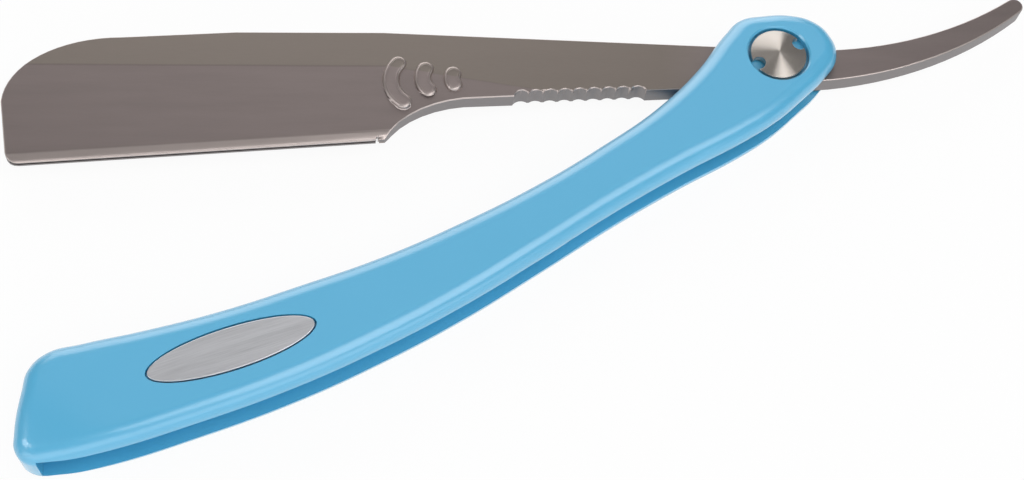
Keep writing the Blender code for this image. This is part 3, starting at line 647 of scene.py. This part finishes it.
def washer_plastic():
    """Plain pale plastic."""
    material, tree, shader = new_finish("washer_plastic")
    grain, cloud = grain_nodes(tree, PIVOT, turn=0.0, stretch=(1.0, 1.0, 1.0), scale=1800.0)
    dress(tree, shader, ramp(tree, cloud, WASHER), between(tree, grain, NOISE_SPAN, WASHER_ROUGH))
    return material


# Handle

def handle_blank():
    """The flat outline as a smooth curve, thickened and rounded along both rims."""
    deselect_all()
    bpy.ops.curve.primitive_bezier_circle_add(radius=TAIL_REACH)
    outline = bpy.context.object
    curve = outline.data
    curve.dimensions = "2D"
    curve.fill_mode = "BOTH"
    curve.resolution_u = 10
    curve.extrude = HALF_THICKNESS
    points = curve.splines[0].bezier_points
    points.add(len(HANDLE_OUTLINE) - len(points))
    for point, (along, across) in zip(points, HANDLE_OUTLINE):
        point.co = (-along * TAIL_REACH, across * HANDLE_WIDTH, 0)
        point.handle_left_type = "AUTO"
        point.handle_right_type = "AUTO"
    outline.location.z = MIDDLE
    select_only(outline)
    bpy.ops.object.convert(target="MESH")
    blank = bpy.context.object
    apply_place(blank)
    bpy.ops.object.mode_set(mode="EDIT")
    bpy.ops.mesh.select_all(action="SELECT")
    bpy.ops.mesh.remove_doubles(threshold=0.002 * MM)
    bpy.ops.mesh.dissolve_limited(angle_limit=math.radians(0.3))
    bpy.ops.mesh.select_all(action="SELECT")
    bpy.ops.mesh.normals_make_consistent(inside=False)
    bpy.ops.object.mode_set(mode="OBJECT")
    bevel(blank, RIM_ROUND, RIM_SEGMENTS, clamp=False)
    return blank


def is_in_tail(face):
    return face.center.x < -TAIL_FROM


def ease_down_tail(blank):
    """Grids the tail, and lets both its faces fall away smoothly towards the low corner."""
    planes = []
    reach = TAIL_FROM
    while reach < TAIL_REACH:
        planes.append(((-reach, 0, 0), (1, 0, 0)))
        reach += TAIL_GRID
    side = -HANDLE_WIDTH
    while side < HANDLE_WIDTH:
        planes.append(((0, side, 0), (0, 1, 0)))
        side += TAIL_GRID
    for number, (place, facing) in enumerate(planes):
        select_faces(blank, lambda face: number == 0 or is_in_tail(face))
        bpy.ops.mesh.bisect(plane_co=place, plane_no=facing, threshold=0.001 * MM)
        leave_edit_mode()
    for vert in blank.data.vertices:
        if vert.co.x < -TAIL_FROM:
            reach = -vert.co.x * math.cos(TAIL_FALL_TURN) - vert.co.y * math.sin(TAIL_FALL_TURN)
            share = max(reach - TAIL_FALL_FROM, 0) / TAIL_FALL_LENGTH
            thinner = 1 - TAIL_FALL / HALF_THICKNESS * share * share
            vert.co.z = MIDDLE + (vert.co.z - MIDDLE) * thinner
    select_faces(blank, is_in_tail)
    bpy.ops.mesh.quads_convert_to_tris()
    leave_edit_mode()


def slot_tool():
    """Wedge that is thinner at the pivot, with an end wall slanted like the tail."""
    tool = add_box((-SLOT_END_REACH, -HANDLE_WIDTH, MIDDLE - SLOT_AT_PIVOT / 2),
                   (HANDLE_WIDTH, HANDLE_WIDTH, MIDDLE + SLOT_AT_PIVOT / 2))
    widening = (SLOT_AT_TAIL - SLOT_AT_PIVOT) / 2 / TAIL_REACH
    for vert in tool.data.vertices:
        side = 1 if vert.co.z > MIDDLE else -1
        vert.co.z += side * -vert.co.x * widening
        if vert.co.x < 0:
            vert.co.x += vert.co.y * math.tan(SLOT_END_SLANT)
    return tool


def is_slot_edge(middle, one, other):
    """The slot's long edges, but for the stretch where they run into the start of the rims."""
    height = abs(middle.z - MIDDLE)
    clear = abs(height - (HALF_THICKNESS - RIM_ROUND)) > SLOT_EDGE_ROUND + SLOT_EDGE_SPARE
    in_slot = height < SLOT_AT_TAIL / 2 + SLOT_EDGE_SPARE
    along = -TAIL_FROM < middle.x < -1.2 * RECESS_RADIUS
    return clear and in_slot and along and one.angle(other) > SLOT_EDGE_LEAST_TURN


def is_pocket_edge(middle, one, other):
    on_face = abs(middle.z - FRONT) < 0.01 * MM
    near = (middle - BADGE_CENTRE).xy.length < BADGE_LENGTH
    return on_face and near and one.angle(other) > POCKET_LEAST_TURN


def make_handle(material):
    """One moulding: slot, stop bridge, bore, recesses, room for the holder's eye, badge pocket."""
    handle = handle_blank()
    ease_down_tail(handle)
    cut(handle, slot_tool())
    cut(handle, add_round(BORE_RADIUS, BACK - CUT_OVER, FRONT + CUT_OVER))
    cut(handle, add_recess_tool(FRONT_RECESS_DEPTH, FRONT, 1))
    cut(handle, add_recess_tool(BACK_RECESS_DEPTH, BACK, -1))
    bevel_chosen(handle, SLOT_EDGE_ROUND, 2, is_slot_edge)
    cut(handle, add_box((BRIDGE_LOW.x, BRIDGE_LOW.y, MIDDLE - BRIDGE_HALF_HEIGHT),
                        (BRIDGE_HIGH.x, BRIDGE_HIGH.y, MIDDLE + BRIDGE_HALF_HEIGHT)), "UNION")
    cut(handle, add_round(EYE_ROOM_RADIUS, MIDDLE - EYE_ROOM_HALF_HEIGHT,
                          MIDDLE + EYE_ROOM_HALF_HEIGHT))
    cut(handle, add_oval(BADGE_LENGTH + 2 * BADGE_GAP, BADGE_WIDTH + 2 * BADGE_GAP,
                         2 * (BADGE_THICKNESS + POCKET_SPARE), FRONT))
    bevel_chosen(handle, POCKET_ROUND, 2, is_pocket_edge)
    even_normals(handle, math.radians(40))
    put_in_handle(handle)
    finish_piece(handle, "handle_moulding", "handle_body", material, ["handle"])


# Badge

def make_badge(material):
    """Bare oval plate with a softened rim."""
    deselect_all()
    badge = add_oval(BADGE_LENGTH, BADGE_WIDTH, BADGE_THICKNESS, FRONT - BADGE_THICKNESS / 2)
    bevel(badge, BADGE_ROUND, 3)
    even_normals(badge)
    put_in_handle(badge)
    finish_piece(badge, "badge_oval", "handle_body", material, ["badge_plate"])


# Pivot

def screw_rings():
    """How far each ring of the head shrinks and rises from the last: rim, corner, then dome."""
    rings = [(1.0, SCREW_RIM - SCREW_CORNER), (DOME_SHARE, SCREW_CORNER)]
    last, last_height = DOME_SHARE, 0.0
    for ring in range(1, DOME_RINGS):
        share = DOME_SHARE * (1 - ring / DOME_RINGS)
        height = DOME_HEIGHT * (1 - (share / DOME_SHARE) ** DOME_POWER)
        rings.append((share / last, height - last_height))
        last, last_height = share, height
    return rings


def make_screw(material):
    """Domed head with two half-round notches. Its shank stays hidden in the nut's barrel."""
    rim_top = FRONT - SCREW_SET_DOWN
    rim_low = rim_top - SCREW_RIM
    deselect_all()
    bpy.ops.mesh.primitive_circle_add(vertices=128, radius=SCREW_RADIUS, fill_type="NOTHING",
                                      location=(0, 0, rim_low))
    screw = bpy.context.object
    apply_place(screw)
    bpy.ops.object.mode_set(mode="EDIT")
    bpy.ops.mesh.select_all(action="SELECT")
    for shrink, rise in screw_rings():
        bpy.ops.mesh.extrude_region_move(TRANSFORM_OT_translate={"value": (0, 0, rise)})
        bpy.ops.transform.resize(value=(shrink, shrink, 1), center_override=(0, 0, 0))
    bpy.ops.mesh.merge(type="CENTER")
    bpy.ops.object.mode_set(mode="OBJECT")
    mesh = screw.data
    select_parts(screw, "EDGE", [edge.index for edge in mesh.edges
                                 if edge_middle(mesh, edge).z < rim_low + 0.01 * MM])
    bpy.ops.mesh.edge_face_add()
    bpy.ops.mesh.select_all(action="SELECT")
    bpy.ops.mesh.normals_make_consistent(inside=False)
    leave_edit_mode()
    for vert in mesh.vertices:
        if vert.co.xy.length < 0.01 * MM and vert.co.z > rim_top:
            vert.co.z = rim_top + DOME_HEIGHT
    for side in (-1, 1):
        cut(screw, add_round(SPANNER_RADIUS, rim_top - CUT_OVER, rim_top + CUT_OVER,
                             (side * SPANNER_PLACE, 0), 48))
    bevel(screw, SCREW_ROUND, 2)
    even_normals(screw, math.radians(30))
    shank = add_round(SHANK_RADIUS, SHANK_LOW, rim_low - SHANK_GAP, steps=32)
    apply_place(shank)
    cut(screw, shank, "UNION")
    put_in_handle(screw)
    finish_piece(screw, "pivot_screw_turned", "handle_body", material,
                 ["pivot_screw"])


# Blade holder

def is_near_pads(place):
    return PADS_LOW.x < place.x < PADS_HIGH.x and PADS_LOW.y < place.y < PADS_HIGH.y


def sink_round_pads(holder):
    """A fine moat round each raised pad, where the stamping pulled the steel down."""
    chosen = []
    for edge, pair in edges_with_sides(holder.data):
        (slope, _), (ground, ground_area) = sorted(pair, key=lambda side: side[1])
        on_ground = ground_area > GROUND_LEAST_AREA and ground.z > GROUND_LEAST_LEVEL
        on_slope = PAD_SLOPE_LEVELS[0] < slope.z < PAD_SLOPE_LEVELS[1]
        if on_ground and on_slope and is_near_pads(edge_middle(holder.data, edge)):
            chosen.append(edge.index)
    select_parts(holder, "EDGE", chosen)
    bpy.ops.mesh.bevel(offset=MOAT_WIDTH, segments=2, profile=0.5, clamp_overlap=False)
    bpy.ops.mesh.select_mode(type="VERT")
    bpy.ops.mesh.select_less()
    bpy.ops.transform.translate(value=(0, 0, -MOAT_DEPTH))
    leave_edit_mode()


def step_pads(holder):
    """A narrow rim along the top of each pad, with a small step down inside it."""
    half_way = HOLDER_TOP + PAD_RISE / 2
    select_faces(holder, lambda face: (face.normal.z > GROUND_LEAST_LEVEL
                                       and face.center.z > half_way
                                       and is_near_pads(face.center)))
    bpy.ops.mesh.inset(thickness=PAD_RIM, depth=0)
    bpy.ops.mesh.inset(thickness=PAD_STEP_WIDTH, depth=-PAD_STEP_DEPTH)
    leave_edit_mode()


def is_front_edge(middle, one, other):
    """Where the front face meets a side wall, but for the thumb notches."""
    first = FIRST_NOTCH.x - NOTCH_MOUTH
    last = FIRST_NOTCH.x + NOTCH_ROW.x + NOTCH_MOUTH
    at_notches = first < middle.x < last and middle.y < FIRST_NOTCH.y + NOTCH_REACH
    at_wall = min(abs(one.z), abs(other.z)) < WALL_MOST_LEVEL
    return not at_notches and at_wall and max(one.z, other.z) > TOP_LEAST_LEVEL


def ease_notches(holder):
    """Blunts the tips between the thumb notches, then breaks each notch's front edge."""
    tips = add_box((FIRST_NOTCH.x, FIRST_NOTCH.y - NOTCH_MOUTH, HOLDER_TOP - 4 * MM),
                   (FIRST_NOTCH.x + NOTCH_ROW.x, FIRST_NOTCH.y + NOTCH_TIP, HOLDER_TOP + 1 * MM))
    for vert in tips.data.vertices:
        vert.co.y += (vert.co.x - FIRST_NOTCH.x) * NOTCH_ROW.y / NOTCH_ROW.x
    cut(holder, tips)
    for number in range(NOTCH_COUNT):
        place = FIRST_NOTCH + number * NOTCH_STEP
        bpy.ops.mesh.primitive_cone_add(vertices=64, radius1=NOTCH_MOUTH - NOTCH_SPARE,
                                        radius2=NOTCH_MOUTH + CHAMFER + NOTCH_SPARE,
                                        depth=CHAMFER + 2 * NOTCH_SPARE,
                                        location=(place.x, place.y, HOLDER_TOP - CHAMFER / 2))
        cut(holder, bpy.context.object)


def mark_creases(obj):
    """Keeps the shallow edges between big ground faces crisp."""
    chosen = []
    for edge, ((one, one_area), (other, other_area)) in edges_with_sides(obj.data):
        if min(one_area, other_area) > GROUND_LEAST_AREA:
            if SHALLOW_LEAST < one.angle(other) < SHALLOW_MOST:
                chosen.append(edge.index)
    select_parts(obj, "EDGE", chosen)
    bpy.ops.mesh.mark_sharp()
    leave_edit_mode()


def make_holder(material):
    holder = copy_of("blade_holder", 0.06 * MM)
    sink_round_pads(holder)
    step_pads(holder)
    bevel_chosen(holder, CHAMFER, 1, is_front_edge)
    ease_notches(holder)
    mark_creases(holder)
    even_normals(holder)
    finish_piece(holder, "blade_holder_ground", "holder_body", material,
                 ["blade_holder"])


def softened(node_name, name, body, material, width):
    """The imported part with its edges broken."""
    piece = copy_of(node_name)
    bevel(piece, width, 2, math.radians(40))
    even_normals(piece)
    finish_piece(piece, name, body, material, [node_name])


# Studio

def make_floor():
    """Pale matt floor that shows white to the camera and in the metal, and keeps the shadow."""
    deselect_all()
    bpy.ops.mesh.primitive_plane_add(size=6.0, location=(0, 0, 0))
    floor = bpy.context.object
    floor.name = "floor"
    material = bpy.data.materials.new("pale_floor")
    material.use_nodes = True
    tree = material.node_tree
    tree.nodes.clear()
    output = node(tree, "ShaderNodeOutputMaterial")
    matt = node(tree, "ShaderNodeBsdfDiffuse")
    matt.inputs["Color"].default_value = (0.92, 0.92, 0.92, 1)
    glow = node(tree, "ShaderNodeEmission")
    glow.inputs["Color"].default_value = (1, 1, 1, 1)
    path = node(tree, "ShaderNodeLightPath")
    seen = join(tree, "ADD", path.outputs["Is Camera Ray"], path.outputs["Is Glossy Ray"])
    through = node(tree, "ShaderNodeMath", operation="ADD", use_clamp=True)
    tree.links.new(seen, through.inputs[0])
    tree.links.new(path.outputs["Is Transmission Ray"], through.inputs[1])
    mix = node(tree, "ShaderNodeMixShader")
    tree.links.new(product(tree, through.outputs[0], FLOOR_GLOW), mix.inputs["Fac"])
    tree.links.new(matt.outputs[0], mix.inputs[1])
    tree.links.new(glow.outputs[0], mix.inputs[2])
    tree.links.new(mix.outputs[0], output.inputs["Surface"])
    floor.data.materials.append(material)


def add_softbox(name, turn, rise, distance, width, height, power):
    """Soft panel facing the razor. Turn is counted from +Y towards +X, and rise from the floor."""
    around, up = math.radians(turn), math.radians(rise)
    direction = Vector((math.sin(around) * math.cos(up), math.cos(around) * math.cos(up),
                        math.sin(up)))
    light = bpy.data.lights.new(name, "AREA")
    light.shape = "RECTANGLE"
    light.size = width
    light.size_y = height
    light.energy = power
    obj = bpy.data.objects.new(name, light)
    bpy.context.scene.collection.objects.link(obj)
    obj.location = direction * distance
    obj.rotation_mode = "QUATERNION"
    obj.rotation_quaternion = (-direction).to_track_quat("-Z", "Y")


def light_studio():
    world = bpy.data.worlds.new("studio")
    bpy.context.scene.world = world
    world.use_nodes = True
    background = world.node_tree.nodes["Background"]
    background.inputs["Color"].default_value = (1.0, 1.0, 1.0, 1.0)
    background.inputs["Strength"].default_value = 0.2
    add_softbox("back_wall", turn=-6, rise=22, distance=0.95, width=0.95, height=0.8, power=5.0)
    add_softbox("high_back", turn=0, rise=62, distance=1.4, width=1.3, height=0.75, power=0.9)
    add_softbox("overhead", turn=128, rise=62, distance=0.9, width=0.7, height=0.66, power=3.9)
    add_softbox("front_fill", turn=185, rise=20, distance=1.1, width=3.4, height=0.6, power=10.0)
    add_softbox("side_spot", turn=256, rise=39, distance=0.6, width=0.18, height=0.18, power=0.5)


# Camera

def make_camera():
    """Stands where the photo's perspective puts it. Places in the picture are in its pixels."""
    width, height = 1024.0, 480.0
    focal = 1536.0
    sensor = 36.0
    plumb_lines_meet = (390.0, 1037.0)
    pivot_seen_at = (779.2, 52.7)
    distance_to_front = 195.0 * MM
    turn = math.radians(2.57)

    def ray_to(point):
        return Vector((point[0] - width / 2, point[1] - height / 2, focal))

    down = ray_to(plumb_lines_meet).normalized()
    up = -down
    right = Vector((1, 0, 0))
    x_axis = (right - right.dot(down) * down).normalized()
    y_axis = up.cross(x_axis)
    razor_x = math.cos(turn) * x_axis + math.sin(turn) * y_axis
    razor_y = -math.sin(turn) * x_axis + math.cos(turn) * y_axis
    ray = ray_to(pivot_seen_at)
    pivot_seen = ray * (distance_to_front / ray.dot(down))
    place = Vector((-pivot_seen.dot(razor_x), -pivot_seen.dot(razor_y), -pivot_seen.dot(up)))
    place += PIVOT + Vector((0, 0, FRONT))
    axes = (razor_x, razor_y, up)
    columns = Matrix([[axis.x for axis in axes], [-axis.y for axis in axes],
                      [-axis.z for axis in axes]])
    data = bpy.data.cameras.new("camera")
    data.sensor_width = sensor
    data.lens = focal / width * sensor
    data.clip_start = 0.005
    data.clip_end = 20.0
    camera = bpy.data.objects.new("camera", data)
    bpy.context.scene.collection.objects.link(camera)
    camera.matrix_world = Matrix.Translation(place) @ columns.transposed().to_4x4()
    bpy.context.scene.camera = camera


# Putting it together

bpy.context.scene.view_settings.view_transform = "Standard"

steel = satin_steel()
resin = blue_resin()
spun = spun_steel()
plate = brushed_plate()
washer = washer_plastic()

make_handle(resin)
make_badge(plate)
make_screw(spun)
softened("pivot_nut", "pivot_nut_turned", "handle_body", spun, 0.1 * MM)
softened("front_washer", "front_washer_moulded", "handle_body", washer, 0.08 * MM)
softened("back_washer", "back_washer_moulded", "handle_body", washer, 0.08 * MM)
make_holder(steel)
softened("back_jaw", "back_jaw_ground", "holder_body", steel, 0.1 * MM)
for rivet in ("jaw_rivet_toe", "jaw_rivet_middle", "jaw_rivet_heel"):
    softened(rivet, rivet + "_peened", "holder_body", steel, 0.08 * MM)

make_floor()
light_studio()
make_camera()
